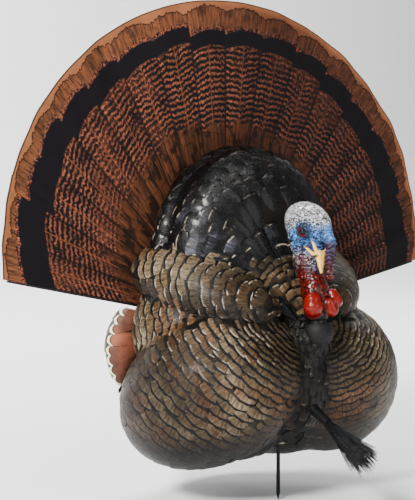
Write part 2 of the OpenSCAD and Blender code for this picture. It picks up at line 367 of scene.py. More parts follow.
# ---------------------------------------------------------------- camera, light, floor
def studio():
    sc = bpy.context.scene
    # the camera looks from the bird's right and a little from above
    turned, down = math.radians(33), math.radians(3.5)
    f = Vector((math.sin(turned) * math.cos(down), math.cos(turned) * math.cos(down), -math.sin(down)))
    r = Vector((math.cos(turned), -math.sin(turned), 0))
    u = r.cross(f)
    cam = bpy.data.cameras.new("camera")
    cam.lens, cam.sensor_width = 92.52, 36
    cam.clip_start, cam.clip_end = 0.05, 60
    ob = bpy.data.objects.new("camera", cam)
    sc.collection.objects.link(ob)
    m = Matrix((r, u, -f)).transposed().to_4x4()
    m.translation = Vector((-0.9611, -1.3138, 0.4113))
    ob.matrix_world = m
    sc.camera = ob

    def area(name, at, look, size, power, colour=(1, 1, 1)):
        li = bpy.data.lights.new(name, "AREA")
        li.shape, li.size, li.energy, li.color = "DISK", size, power, colour
        o = bpy.data.objects.new(name, li)
        sc.collection.objects.link(o)
        o.location = at
        o.rotation_euler = (Vector(look) - Vector(at)).to_track_quat("-Z", "Y").to_euler()

    mid = (0, 0, 0.25)
    area("key", (-2.5, -1.2, 2.0), mid, 0.7, 230, (1, 0.985, 0.965))
    area("fill", (0.6, -2.8, 1.2), mid, 1.8, 34, (0.97, 0.985, 1))
    area("rim", (1.9, 1.2, 1.7), mid, 1.0, 24)
    area("backdrop", (0, 1.6, 3.6), (0, 4.6, 0.6), 2.5, 420)
    w = bpy.data.worlds.new("world")
    w.use_nodes = True
    w.node_tree.nodes["Background"].inputs[0].default_value = (1, 1, 1, 1)
    w.node_tree.nodes["Background"].inputs[1].default_value = 0.28
    sc.world = w

    fm = Mat("studio_floor", roughness=0.9)
    fm.set(base_color=fm.mix(fm.noise(fm.obj(), 3.0), (0.9, 0.9, 0.9), (0.93, 0.93, 0.93)))
    # a floor that sweeps up behind the bird, just under the stake's point
    low, bend = -8.6, 1500
    prof = [(-6000, low)] + [(3500 + bend * math.sin(a), low + bend * (1 - math.cos(a)))
                             for a in np.linspace(0, math.pi / 2, 24)] + [(5000, 6000)]
    v = np.array([[a, y, z] for y, z in prof for a in np.linspace(-9000, 9000, 3)])
    mesh_object("studio_floor", v, grid_faces(len(prof), 3)[:, ::-1], fm.m)


# ---------------------------------------------------------------- body shape
def turn(rx, ry, rz):
    rx, ry, rz = np.radians([rx, ry, rz])
    X = np.array([[1, 0, 0], [0, np.cos(rx), -np.sin(rx)], [0, np.sin(rx), np.cos(rx)]])
    Y = np.array([[np.cos(ry), 0, np.sin(ry)], [0, 1, 0], [-np.sin(ry), 0, np.cos(ry)]])
    Z = np.array([[np.cos(rz), -np.sin(rz), 0], [np.sin(rz), np.cos(rz), 0], [0, 0, 1]])
    return Z @ Y @ X


REAR_Y = 106.0
INSET = 1.3
# name, centre, radii, turn, ends at the rear face, softness of the crease beside it
LOBES = [
    ("hump", (0, 73, 301), (122, 86, 142), (0, 0, 0), True, 8),
    ("cape", (0, 91, 293), (134, 50, 152), (0, 0, 0), True, 5),
    ("nape", (0, 31, 249), (86, 74, 118), (-22, 0, 0), True, 14),
    ("boss", (0, -58, 206), (30, 34, 28), (0, 0, 0), True, 8),
    ("crop", (0, -42, 155), (44, 38, 70), (0, 0, 0), True, 12),
    ("shoulder", (88, 53, 269), (60, 122, 44), (16, 0, -22), True, 4),
    ("flank", (90, 83, 209), (70, 88, 74), (0, 0, 0), True, 4),
    ("breast", (86, 22, 142), (127, 100, 95), (0, 32, 50), True, 4),
    ("belly", (38, 61, 105), (88, 96, 67), (0, 0, 0), False, 8),
    ("rump", (0, 118, 98), (112, 70, 76), (0, 0, 0), False, 10),
    ("thigh", (88, 89, 117), (78, 70, 76), (0, 0, 0), False, 8),
]
LOBE = []
for nm, c, r, t, e, k in LOBES:
    LOBE.append((nm, np.array(c, float), np.array(r, float), turn(*t), e, k))
    if c[0]:
        LOBE.append((nm + "_r", np.array((-c[0], c[1], c[2]), float), np.array(r, float),
                     turn(t[0], -t[1], -t[2]), e, k))
# the group of each lobe, left and right alike
BASE = np.array([l[0].replace("_r", "") for l in LOBE])


def folded(P):
    """A point with the left and right sides laid on each other."""
    return np.stack([np.abs(P[..., 0]), P[..., 1], P[..., 2]], -1)


def ellipsoid(P, c, r, R):
    q = (P - c) @ R
    k0 = np.sqrt(((q / r) ** 2).sum(-1))
    k1 = np.sqrt(((q / r ** 2) ** 2).sum(-1)) + 1e-9
    return k0 * (k0 - 1) / k1


def smin(a, b, k):
    h = np.maximum(k - np.abs(a - b), 0) / k
    return np.minimum(a, b) - h * h * k * 0.25


def smax(a, b, k):
    return -smin(-a, -b, k)


# the neck cup's centre, and the radius of the hollow it sits in
CUP = np.array([0, -81 - 6 * 0.1736, 222 - 6 * 0.985])
CUP_R = 15.5


def body_fn(P, inset=INSET):
    a = None
    for nm, c, r, R, e, k in LOBE:
        if e:
            d = ellipsoid(P, c, r, R) + inset
            a = d if a is None else smin(a, d, k)
    a = smax(a, P[..., 1] - REAR_Y + (inset if inset > 2 else 0), 14)
    for nm, c, r, R, e, k in LOBE:
        if not e:
            a = smin(a, ellipsoid(P, c, r, R) + inset, k)
    return np.maximum(a, CUP_R - np.sqrt(((P - CUP) ** 2).sum(-1)))


def lobe_of(P):
    d = np.stack([ellipsoid(P, c, r, R) for nm, c, r, R, e, k in LOBE])
    return d.argmin(0)


NECK = np.array([0, -72, 232.0])
BEARD_AT = np.array([0, -77, 118.0])


# how far a feather follows the line out from the neck, and what is added to it outwards, back and up
WAY = {"hump": (0.55, 0, 0.9, 0.05), "cape": (0.55, 0, 0.9, 0.05), "nape": (0.8, 0, 0.55, -0.15),
       "shoulder": (0, 0.35, 0.95, -0.18), "flank": (0, 0.25, 0.95, -0.3), "breast": (1, 0.1, 0.3, -0.65),
       "crop": (0, 0.12, 0, -1), "boss": (0, 0.12, 0, -1)}
WAY_UNDER = (0, 0.15, 0.9, -0.45)


def flow(P, ids):
    """Which way the feathers point: away from the neck, and back along each lobe."""
    side = np.where(P[:, 0] < 0, -1.0, 1.0)
    follow, out, back, up = np.array([WAY.get(b, WAY_UNDER) for b in BASE])[ids].T
    return unit(P - NECK) * follow[:, None] + np.stack([side * out, back, up], 1)


# width and exposed length of a feather
SIZE = {"hump": (23, 17), "cape": (24, 16), "nape": (13, 10), "boss": (6, 8), "crop": (8, 15),
        "shoulder": (23, 14), "flank": (23, 13), "breast": (25, 16), "belly": (26, 19),
        "rump": (27, 21), "thigh": (26, 19)}


def breast_way(P):
    """How far down the flow of the breast a point is, and how much its feathers have grown there."""
    q = np.linalg.norm(P - NECK, axis=1) + 0.1 * np.abs(P[:, 0]) + 0.3 * P[:, 1] - 0.65 * (P[:, 2] - NECK[2])
    return q, grown(q)


def grown(q):
    return 0.55 + 0.5 * step(50, 220, q)


def row_of(P, ids, E):
    """The row a point lies in: how far along the flow of its lobe it is, in feather lengths."""
    t = np.linspace(-100, 600, 1401)
    count = np.cumsum(0.5 / (SIZE["breast"][1] * grown(t)))
    near = np.linalg.norm(P - NECK, axis=1)
    x, y, z = np.abs(P[:, 0]), P[:, 1], P[:, 2]
    base = BASE[ids]
    R = np.interp(breast_way(P)[0], t, count)
    for names, f in ((("hump", "cape"), 0.5 * near + 0.85 * y),
                     (("nape",), 0.8 * near + 0.5 * y - 0.1 * z),
                     (("shoulder",), 0.35 * x + 0.95 * y - 0.18 * z),
                     (("flank",), 0.25 * x + 0.95 * y - 0.3 * z),
                     (("belly", "rump", "thigh"), 0.15 * x + 0.9 * y - 0.45 * z)):
        m = np.isin(base, names)
        R[m] = (f / E)[m]
    return R + fbm(P, 55, 77, 2) * 1.5


def scatter(v, n, ids, sizes, keep, seed):
    """Feather tips in rows across the flow. Where the surface faces along the flow they are spread evenly."""
    rng = np.random.default_rng(seed)
    D = flow(v, ids)
    D = unit(D - n * (D * n).sum(1, keepdims=True))
    T = np.cross(n, D)
    E = sizes[:, 1]
    R = row_of(v, ids, E)
    slope = (row_of(v + D, ids, E) - R) * E
    base = BASE[ids]
    lined = (slope > 0.42) & (slope < 2.2) & ~np.isin(base, ("crop", "boss"))
    off = (R - np.round(R)) * E / np.maximum(slope, 0.4)
    alive = keep & (~lined | (np.abs(off) < 1.7))
    along = np.where(lined, np.round(R) * 40 + v[:, 2] * 0.05, R * 40)
    order = np.argsort(along + rng.uniform(0, 0.15, len(v)))
    picked = []
    for i in order:
        if not alive[i]:
            continue
        picked.append(i)
        w, e = sizes[i]
        q = v - v[i]
        near = (np.abs(q) < 2.4 * max(w, e)).all(1)
        qn = q[near]
        a = (qn @ T[i]) / (0.95 * w)
        b = (qn @ D[i]) / ((0.6 if lined[i] else 1.16) * e)
        c = (qn @ n[i]) / 30.0
        alive[np.flatnonzero(near)[a * a + b * b + c * c < 1]] = False
    shown = np.where(lined, np.clip(1 / np.maximum(slope, 0.4), 0.75, 2.0), 1.0)
    return np.array(picked), D, T, shown


COLS = np.linspace(-1, 1, 9)
ROWS = np.array([0, 0.24, 0.46, 0.58, 0.68, 0.78, 0.87, 0.94, 1.0])


def feathers(fn, P, D, T, W, E, rng, lift=1.6, tip=0.15, over=2.5, puff=1.0, place=None):
    """One closed feather per tip point: vertices, faces, each vertex's feather, and its attributes."""
    n = len(P)
    U, S = np.meshgrid(COLS, ROWS)
    U, S = U.ravel(), S.ravel()
    half = (0.62 + 0.38 * np.sqrt(S)) * np.where(S > 0.8, 1 - 0.20 * ((S - 0.8) / 0.2) ** 2, 1)
    skew = rng.normal(0, 0.10, n)[:, None]
    curl = rng.normal(0, 0.05, n)[:, None]
    L = (E * over)[:, None]
    W = W[:, None]
    along = (S - 1) * L + -(U ** 2) * tip * S ** 2 * W * 0.8
    along = along + 0.03 * W * np.sin(U * 7 + rng.uniform(0, 6, n)[:, None]) * (S > 0.9)
    across = U * half * W * 0.63 + skew * along + curl * along ** 2 / L
    if place:
        X = place(along, across)
    else:
        X = P[:, None] + D[:, None] * along[..., None] + T[:, None] * across[..., None]
    # bend each strip down onto the curved body before snapping it to the surface
    X, NN = snap(fn, X, 3)
    # a strip that would jump across a crease stays hidden under the skin
    Xr = X.reshape(n, len(ROWS), len(COLS), 3)
    far = np.linalg.norm(np.diff(Xr, axis=1), axis=-1) / (L * np.diff(ROWS))[..., None]
    wide = np.linalg.norm(np.diff(Xr, axis=2), axis=-1) / (0.16 * W)[..., None]
    torn = (far.max((1, 2)) > 2.3) | (wide.max((1, 2)) > 2.6)
    k = (S - 1) * over
    roll = rng.normal(0, 0.25, n)[:, None] * U
    h = lift * (1 + 0.66 * k) + puff * (0.55 * (1 - U ** 2) - 0.25 + roll) \
        + rng.normal(0, 0.12, n)[:, None] - 4.0 * torn[:, None]
    top = X + NN * h[..., None]
    nr, nc = len(ROWS), len(COLS)
    loop = outline(nr, nc)
    low = X[:, loop] - NN[:, loop] * 1.3
    mid = low.mean(1, keepdims=True)
    per = nr * nc + len(loop) + 1
    verts = np.concatenate([top, low, mid], 1).reshape(-1, 3)
    m = len(loop)
    la = nr * nc + np.arange(m)
    lb = nr * nc + (np.arange(m) + 1) % m
    skirt = np.stack([np.roll(loop, -1), loop, la, lb], 1)
    fan = np.stack([np.full(m, nr * nc + m), lb, la], 1)
    off = (np.arange(n) * per)[:, None, None]
    Fq = (np.concatenate([grid_faces(nr, nc), skirt])[None] + off).reshape(-1, 4)
    Ft = (fan[None] + off).reshape(-1, 3)

    def spread(top_value, middle=0.0):
        """A value on the top, repeated on the skirt, and one for the middle of the underside."""
        x = np.broadcast_to(top_value, (n, nr * nc))
        return np.concatenate([x, x[:, loop], np.full((n, 1), middle)], 1)

    skin = np.concatenate([np.zeros((n, nr * nc)), np.ones((n, m + 1))], 1)
    barb = spread(np.arctan2(across, along + L * 1.15)) * (L * 1.15 / 1.3) + rng.uniform(0, 50, n)[:, None]
    back = spread(-along, 30.0) - spread(U ** 2) * tip * W * 0.8
    values = dict(u=spread(U), s=spread(S), skirt=skin, barb=barb, back=back)
    return verts, [Fq, Ft], np.repeat(np.arange(n), per), {k: x.ravel() for k, x in values.items()}


# ---------------------------------------------------------------- painted colours of the body
BRONZE, SILVER, COPPER = lin(140, 120, 92), lin(176, 164, 146), lin(158, 112, 78)
OLIVE, UMBER, SOOT = lin(98, 83, 58), lin(74, 59, 44), lin(28, 25, 24)
ASH, GOLD, SILVERY = lin(104, 96, 86), lin(160, 132, 90), lin(222, 218, 212)


def body_paint(P, N, ids, who_rand):
    """Base colour, with painted shade and painted highlight in it, and strengths of the pale edge (brushed
    paint and painted highlight) and the gloss, at each vertex.
    """
    n = len(P)
    x, y, z = P.T
    big = fbm(P, 46, 3)
    mid = fbm(P, 19, 11)
    near = np.linalg.norm(P - NECK, axis=1)
    C = np.zeros((n, 3))
    # strength of the pale edge strokes: brushed paint and painted highlight
    pale = np.zeros(n)
    gloss = np.full(n, 0.35)
    base = BASE[ids]
    for b in set(base.tolist()):
        m = base == b
        t1, t2, d = big[m], mid[m], near[m]
        zz, xx, yy = z[m], x[m], y[m]
        ax = np.abs(xx)
        if b == "breast":
            c = mixn(mixn(BRONZE, SILVER, step(0.42, 0.62, t1 + 0.10 * step(150, 220, zz))), COPPER,
                     step(0.46, 0.66, t2 + 0.25 * step(90, 40, ax) * step(180, 110, zz)) * 0.7)
            c = mixn(c, OLIVE, 0.8 * step(150, 90, d + 20 * t2))
            c = mixn(c, UMBER, 0.85 * step(128, 72, zz + 22 * t1))
            c = mixn(c, ASH * 0.35, 0.7 * step(90, 45, zz))
            c = mixn(c, UMBER, 0.6 * np.where(xx > 0, step(90, 170, ax), 0))
            # painted shade: the breast darkens to about a quarter of its colour at its far sides and low
            # down, where it turns away from the light
            c = mixn(c, c * 0.26, np.maximum(0.9 * step(100, 180, ax), step(145, 75, zz)))
            c = mixn(c, SOOT, 0.92 * step(38, 14, ax) * step(215, 190, zz))
            pale[m] = (step(150, 215, zz) * step(240, 150, d) * 0.75 + 0.06) * step(40, 90, ax)
        elif b == "shoulder":
            c = mixn(mixn(SILVER, BRONZE, step(0.4, 0.6, t1)), GOLD, step(0.45, 0.7, t2) * 0.7)
            c = mixn(c, COPPER, step(0.5, 0.7, t1) * 0.4)
            c = mixn(c, UMBER, 0.8 * step(40, -20, yy))
            # painted shade: feathers that face downwards are darkened
            c = mixn(c, SOOT, 0.85 * step(0.15, -0.55, N[m][:, 2]))
            pale[m] = 0.8 * step(130, 20, yy)
        elif b == "flank":
            c = mixn(mixn(SILVER, BRONZE, step(0.4, 0.6, t1)), COPPER, step(70, 10, yy) * 0.7)
            # painted shade: feathers that face downwards are darkened
            c = mixn(c, SOOT, 0.75 * step(0.0, -0.7, N[m][:, 2]))
            pale[m] = 0.6
        elif b in ("hump", "cape"):
            c = mixn(lin(9, 9, 11), lin(24, 22, 25), t2)
            rim = step(84, 100, yy)
            c = mixn(c, lin(84, 66, 36), rim * step(0.35, 0.6, t2 + 0.1))
            # painted highlight: silver glints on some feathers of the hump's lower side, which faces the key
            # light
            painted_glint = step(0.42, 0.72, 0.6 * who_rand[m] + 0.5 * t1) * step(385, 300, zz) * step(10, -45, xx)
            c = mixn(c, lin(150, 152, 166), 0.75 * painted_glint * step(0.34, 0.66, t2 + 0.25 * (t1 - 0.5)))
            # on the hump the pale edges gather on the lower side that faces the key light: painted highlight
            pale[m] = (0.95 * step(400, 300, zz) * step(60, 0, xx) + 0.10) * (1 - rim)
            gloss[m] = 1.0
        elif b == "nape":
            c = mixn(lin(84, 74, 60), lin(168, 146, 116), step(0.30, 0.56, t2) * step(320, 240, zz))
            pale[m] = 0.35
            gloss[m] = 0.5
        elif b == "crop":
            c = mixn(lin(34, 27, 22), lin(150, 122, 80), 0.45 * step(0.5, 0.70, t2))
            pale[m] = 0.15
        elif b == "boss":
            c = mixn(lin(30, 26, 24), lin(60, 51, 42), t2)
        else:
            c = mixn(lin(46, 39, 33), lin(30, 26, 22), t1)
            c = mixn(c, SOOT, 0.45 * step(75, 45, zz))
            pale[m] = 0.2
        C[m] = c
    C = C * (0.75 + 0.5 * who_rand[:, None])
    return C, pale, gloss


def feather_material():
    m = Mat("painted_feathers")
    rest = m.attr("rest", "Vector")
    s, barb, back = m.attr("s"), m.attr("barb"), m.attr("back")
    skirt, pale, gloss = m.attr("skirt"), m.attr("pale"), m.attr("gloss")
    tint = m.attr("tint", "Color")
    n1 = m.noise(rest, 0.22, 3.0, 0.6)
    n2 = m.noise(rest, 0.055, 2.0)
    # engraved hair lines run out from the quill and catch the dry-brushed paint
    hairs = m.noise(m.combine(barb, back * 0.07, 0.0), 1.0, 2.0, 0.6, 0.3)
    fine = m.noise(m.combine(barb * 2.6, back * 0.16, 4.0), 1.0, 2.0, 0.5)
    hair = (hairs * 0.65 + fine * 0.35).ramp(0.36, 0.62)
    col = m.mix(hair, m.times(tint, (0.22, 0.19, 0.17)), m.times(tint, (1.75, 1.70, 1.6)))
    col = m.mix(n1.ramp(0.35, 0.68) * 0.5, col, m.times(col, (0.42, 0.38, 0.34)))
    # pale strokes just inside the tip, broken up by noise: dry-brushed paint and painted highlight where the
    # raised tips catch the light
    broken = m.noise(rest, 0.085, 2.0).ramp(0.50, 0.62)
    lip = back.ramp(1.2, 2.0) * back.ramp(5.2, 2.6) * broken * pale
    col = m.mix(lip * 0.9, col, SILVERY)
    # pale streaks along the hair lines: dry-brushed paint and painted highlight
    streak = hairs.ramp(0.60, 0.70) * back.ramp(9.0, 2.0) * m.noise(rest, 0.05, 1.0).ramp(0.45, 0.6) * pale
    col = m.mix(streak * 0.7, col, SILVERY)
    # black outline of the tip, black paint on each feather's side wall, and a painted shadow just below the
    # feather above, where the next feather comes out from under it
    wide = n2 * 2.8 + 1.1
    edge = (back - wide).ramp(1.0, -0.3).max(skirt.ramp(0.2, 0.8))
    dark = edge.max(s.ramp(0.635, 0.590) * 0.8)
    col = m.mix(dark, col, lin(13, 13, 17))
    rough = m.noise(rest, 0.3, 3.0).ramp(0.3, 0.7, 0.34, 0.5) - gloss * 0.10
    m.set(base_color=col, roughness=rough, ior=1.25, coat_weight=gloss * gloss * 0.12, coat_roughness=0.16)
    m.bump(hair * 0.5 + n1 * 0.25, 0.6, 0.9)
    return m.m


def skin_material():
    m = Mat("painted_skin", ior=1.2)
    rest = m.attr("rest", "Vector")
    n = m.noise(rest, 0.12, 4.0, 0.6)
    m.set(base_color=m.mix(n, lin(18, 16, 15), lin(44, 37, 30)), roughness=n.ramp(0.3, 0.7, 0.5, 0.7))
    m.bump(m.noise(rest, 0.5, 3.0), 0.4, 0.8)
    return m.m


def build_body():
    v, f = nets((-236, -145, 20), (236, 205, 462), 4.0, body_fn)
    v, _ = snap(body_fn, v, 2)
    inner, fi = nets((-226, -135, 28), (226, 195, 452), 8.0, lambda P: body_fn(P, 5 + INSET))
    V2, F2, _ = join_parts([(v, [f], {}), (inner, [fi[:, ::-1]], {})])
    settle(mesh_object("body_skin", V2, F2, skin_material()), "body", "body_shell")
    # feather tips over everything but the flat rear face and the fittings
    rng = np.random.default_rng(11)
    P = np.concatenate([v, v[f].mean(1)])
    P = P + rng.normal(0, 0.7, P.shape)
    P, n = snap(body_fn, P, 2)
    ids = lobe_of(P)
    near = np.linalg.norm(P - NECK, axis=1)
    sizes = np.array([SIZE[nm] for nm in BASE], float)[ids]
    base = BASE[ids]
    br = base == "breast"
    sizes[br] *= breast_way(P)[1][br, None]
    hu = base == "hump"
    sizes[hu] *= (0.7 + 0.38 * step(80, 200, near[hu]))[:, None]
    keep = ~((n[:, 1] > 0.85) & (np.abs(P[:, 1] - REAR_Y) < 6))
    keep &= np.linalg.norm(P - CUP, axis=1) > 21
    keep &= np.linalg.norm(P[:, :2], axis=1) > 15
    keep &= np.linalg.norm(P - BEARD_AT, axis=1) > 9
    picked, D, T, shown = scatter(P, n, ids, sizes, keep, 5)
    seeds, sn, sid = P[picked], n[picked], ids[picked]
    W, E = sizes[picked].T
    E = E * shown[picked]
    jit = rng.normal(0, 0.06, len(seeds))[:, None]
    sd = unit(D[picked] + T[picked] * jit)
    groups = {"back": ("hump", "cape", "nape", "boss"), "shoulders": ("shoulder", "flank"),
              "breast": ("breast", "crop"), "under": ("belly", "rump", "thigh")}
    mat = feather_material()
    sb = base[picked]
    for g, members in groups.items():
        for side in ("left", "right") if g != "back" else ("all",):
            m = np.isin(sb, members)
            if side != "all":
                m &= (seeds[:, 0] >= 0) if side == "left" else (seeds[:, 0] < 0)
            r = np.random.default_rng(len(g) + (side == "left"))
            puff, lift = (3.2, 2.3) if g == "back" else (1.2, 1.7)
            vv, ff, who, at = feathers(body_fn, seeds[m], sd[m], np.cross(sn[m], sd[m]), W[m], E[m], r,
                                       puff=puff, lift=lift)
            wr = r.random(m.sum())[who]
            C, pale, gloss = body_paint(vv, np.repeat(sn[m], len(vv) // m.sum(), axis=0), sid[m][who], wr)
            ob = mesh_object("feathers_" + g + ("" if side == "all" else "_" + side), vv, ff, mat, sharp=0.7,
                             tint=C, pale=pale, gloss=gloss, **at)
            settle(ob, "body")


# ---------------------------------------------------------------- fan
# height of the hub, and radius where the cloth begins
HUB_Z, INNER = 209.0, 40.0
FAN_R, FAN_RISE, SPREAD, SIDE_RIBS = 330.0, 99.0, 155.2, 4
RIB_STEP = SPREAD / 2 / SIDE_RIBS
RIB_Y0, RIB_PITCH = 109.4, 1.7
# eighteen printed feathers
FEATHER_STEP = SPREAD / 18


def reach(a):
    return FAN_RISE * np.cos(a) + np.sqrt(FAN_R ** 2 - (FAN_RISE * np.sin(a)) ** 2)


def rib_face(side, i):
    layer = 2 * SIDE_RIBS if i == 0 else 2 * (SIDE_RIBS - i) + (1 if side < 0 else 0)
    return RIB_Y0 + RIB_PITCH * layer


def fan_material():
    """Printed feathers. Each point knows its angle, its distance in from the round edge, and its radius."""
    m = Mat("printed_fan_cloth")
    rest = m.attr("rest", "Vector")
    deg, edge, arm = m.attr("deg"), m.attr("edge"), m.attr("arm")

    def polar(a, b, z, detail=3.0, rough=0.5):
        """Noise stretched along the feathers."""
        return m.noise(m.combine(deg * a, edge * b, z), 1.0, detail, rough)

    q = deg / FEATHER_STEP + 9.0
    idx = q.floor()
    u = q.fract() - 0.5
    width = arm * (FEATHER_STEP * math.pi / 180)
    vein = (u * width).abs()
    side = deg.abs() / (SPREAD / 2)
    r1 = ((idx * 12.9898).sin() * 43758.5453).fract()
    r2 = ((idx * 78.233).sin() * 12543.123).fract()
    n_big = m.noise(rest, 0.012, 3.0)
    n_mid = m.noise(rest, 0.06, 3.0, 0.6)
    n_fine = m.noise(rest, 0.35, 3.0, 0.7)
    strand = polar(2.2, 0.035, 0.0, 3.0, 0.65)
    jag = polar(0.9, 0.004, 3.0, 4.0, 0.75) - 0.5
    # each feather's bands step a little past its neighbour's on one side
    s = edge - vein * vein * 0.005 + u * 6.0 + (r1 - 0.5) * 8.0 - 2.0
    s1 = s + jag * 5.0
    b1 = side.ramp(0.0, 0.9, 30.0, 15.0)
    b2 = b1 + 5.0 + side.ramp(0.0, 1.0, 20.0, 42.0)
    b3 = b2 + 104.0
    # colours
    copper = m.mix(strand.ramp(0.3, 0.7), lin(116, 80, 60), lin(188, 134, 100))
    copper = m.mix((n_mid.ramp(0.45, 0.65)) * 0.6, copper, lin(92, 56, 42))
    purple = m.mix(n_fine.ramp(0.3, 0.7), lin(20, 15, 23), lin(30, 23, 32))
    rust = m.mix(strand.ramp(0.3, 0.7), lin(128, 92, 76), lin(206, 154, 128))
    ink = m.mix(n_fine.ramp(0.3, 0.7), lin(22, 17, 22), lin(42, 31, 34))
    # wavy transverse bars that lean back from the quill and break up into stipple
    wave = (polar(0.9, 0.035, 7.0, 4.0, 0.75) - 0.5) * 17.0
    bars = ((s + vein * (r2 * 0.5 - 0.1) + wave + r2 * 7.0) * (TAU / 7.6)).sin()
    bars = (bars + (n_fine - 0.5) * 4.4 - 0.35).ramp(-0.3, 0.45)
    bars = bars * polar(0.6, 0.03, 1.0, 3.0, 0.6).ramp(0.30, 0.48)
    barred = m.mix(bars, ink, rust)
    barred = m.mix(n_big.ramp(0.5, 0.68) * n_fine.ramp(0.4, 0.6) * 0.5, barred, rust)
    # covert feathers near the body: bare rusty patches, dark slashes and radiating strokes
    stroke = polar(3.4, 0.02, 5.0, 2.0, 0.6)
    patch = polar(0.35, 0.035, 2.0, 2.0)
    covert = m.mix(stroke.ramp(0.38, 0.62), lin(96, 60, 44), lin(172, 112, 78))
    slash = m.mix(stroke.ramp(0.45, 0.6), lin(24, 16, 15), lin(72, 44, 32))
    covert = m.mix(patch.ramp(0.50, 0.58) * 0.85, covert, slash)
    cov_e = m.cell_edges(m.combine(deg / 6.4, edge / 30.0), 1.0, 0.8)
    covert = m.mix(cov_e.ramp(0.04, 0.015) * 0.4, covert, lin(22, 14, 13))
    # stack the zones from the body outwards
    col = m.mix((s - b3 + jag * 46.0).ramp(-9.0, 9.0), barred, covert)
    mott = m.mix(n_fine.ramp(0.42, 0.58), ink, rust)
    col = m.mix((b2 + 3.0 - s1).ramp(0.0, 3.0), col, mott)
    col = m.mix((b2 - s1 + (n_fine - 0.5) * 7.0).ramp(0.0, 1.6), col, purple)
    col = m.mix((b1 + 5.0 - s1 + (n_fine - 0.5) * 6.0).ramp(0.0, 2.0), col, mott)
    col = m.mix((b1 - s1 + (strand - 0.5) * 9.0).ramp(0.0, 2.5), col, copper)
    # each feather is darker along the edge its neighbour lies over, and some are darker all over
    lap = ((u + 0.5).ramp(0.5, 1.0) * 0.6).max(r1.ramp(0.5, 1.0) * 0.3) * (s - b2).ramp(-4.0, 4.0)
    col = m.mix(lap, col, m.times(col, (0.34, 0.32, 0.34)))
    # quills and the dark line beside each feather's edge
    quill = vein.ramp(1.1, 0.4) * (s - b2).ramp(-6.0, 6.0) * n_mid.ramp(0.3, 0.5)
    quill = quill * (b3 + 20.0 - s).ramp(0.0, 20.0)
    col = m.mix(quill * 0.7, col, lin(186, 126, 92))
    side_line = ((0.5 - u.abs()) * width).ramp(2.0, 0.4) * (s - b2).ramp(-4.0, 4.0)
    col = m.mix(side_line * 0.85, col, lin(22, 16, 18))
    # ragged black outline of the feather tips on the pale border of the cloth
    tip_at = r1 * 3.5 + side.ramp(0.0, 1.0, 6.0, 4.0) + vein * vein * 0.008 + jag * 17.0
    past = edge - tip_at
    inked = past.abs().ramp(1.2, 0.5)
    nick = polar(3.0, 0.02, 9.0, 2.0).ramp(0.62, 0.67) * past.ramp(0.0, 1.0) * past.ramp(12.0, 5.0)
    col = m.mix(past.ramp(0.5, -0.5), col, m.mix(n_mid, lin(176, 130, 98), lin(206, 164, 128)))
    col = m.mix(inked.max(nick) * 0.92, col, lin(30, 18, 16))
    col = m.mix(edge.ramp(2.0, 1.2) * 0.85, col, lin(70, 40, 30))
    # painted shade: the half of the cloth away from the key light, on the bird's left, is darkened, a little
    # less at the round edge
    shade = deg.ramp(-12.0, 10.0) * edge.ramp(2.0, 10.0, 0.35, 1.0)
    col = m.mix(shade * 0.9, col, m.times(col, (0.42, 0.40, 0.43)))
    col = m.mix(n_big.ramp(0.4, 0.7) * 0.4, col, m.times(col, (0.5, 0.46, 0.46)))
    thread = (deg * arm * (math.pi / 180) * (TAU / 0.9)).sin() * (edge * (TAU / 0.9)).sin()
    m.set(base_color=col, roughness=n_fine.ramp(0.3, 0.7, 0.66, 0.84), sheen_weight=0.02, sheen_roughness=0.5,
          ior=1.2)
    m.bump(thread * 0.25 + n_mid * 0.6, 0.35, 0.6)
    return m.m


def gore(side, i):
    """The cloth between rib i - 1 and rib i: vertices, faces, and the values the print needs."""
    na = 27
    t = np.linspace(0, 1, na)
    a = np.radians(side * RIB_STEP * (i - 1 + t))
    # finer rows near the round edge, where the hem is thicker
    k = np.concatenate([np.linspace(0, 0.972, 59), [0.978, 0.985, 0.991, 0.9965, 1.0]])
    A, K = np.meshgrid(a, k)
    Tt = np.meshgrid(t, k)[0]
    arm = INNER + (reach(A) - INNER) * K
    ya, yb = rib_face(side, i - 1), rib_face(side, i)
    y = ya + (yb - ya) * step(0.07, 0.93, Tt) - 0.55
    # soft pleats beside each printed quill, which die out at the ribs and towards the hub
    q = np.degrees(A) / FEATHER_STEP + 9
    fr = q - np.floor(q)
    slack = np.sin(np.pi * Tt) ** 0.7
    pleat = -1.5 * np.sin(2 * np.pi * fr) - 1.3 * np.sin(3.1 * A * 5 + side)
    y = y + pleat * slack * step(60, 330, arm)
    y = y - 3.2 * slack * step(120, 400, arm) * (0.6 + 0.4 * np.sin(7 * A + i))
    thick = 0.22 + 0.55 * step(0.972, 0.985, K)
    z = HUB_Z + arm * np.cos(A)
    x = arm * np.sin(A)
    V0 = np.concatenate([np.stack([x, y + d * thick, z], -1).reshape(-1, 3) for d in (-1, 1)])
    n = len(V0) // 2
    g = grid_faces(len(k), na)
    loop = outline(len(k), na)
    b = np.roll(loop, -1)
    F = np.concatenate([g, g[:, ::-1] + n, np.stack([b, loop, loop + n, b + n], 1)])
    deg, edge, arm = (np.tile(w.ravel(), 2) for w in (np.degrees(A), (reach(A) - INNER) * (1 - K), arm))
    return V0, F if side > 0 else F[:, ::-1], dict(deg=deg, edge=edge, arm=arm), a


def build_fan():
    mat = fan_material()
    for side, word in ((1, "left"), (-1, "right")):
        for i in range(1, SIDE_RIBS + 1):
            V0, F, at, a = gore(side, i)
            ob = mesh_object(f"fan_cloth_{word}_{i}", V0, F, mat, sharp=1.0, **at)
            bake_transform(ob)
            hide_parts(f"panel_{word}_{i}")
            # the area of the gore as it was cut
            r2 = reach(a) ** 2 - INNER ** 2
            area = float(((r2[1:] + r2[:-1]) / 2 * np.diff(np.abs(a))).sum() / 2) * MM ** 2


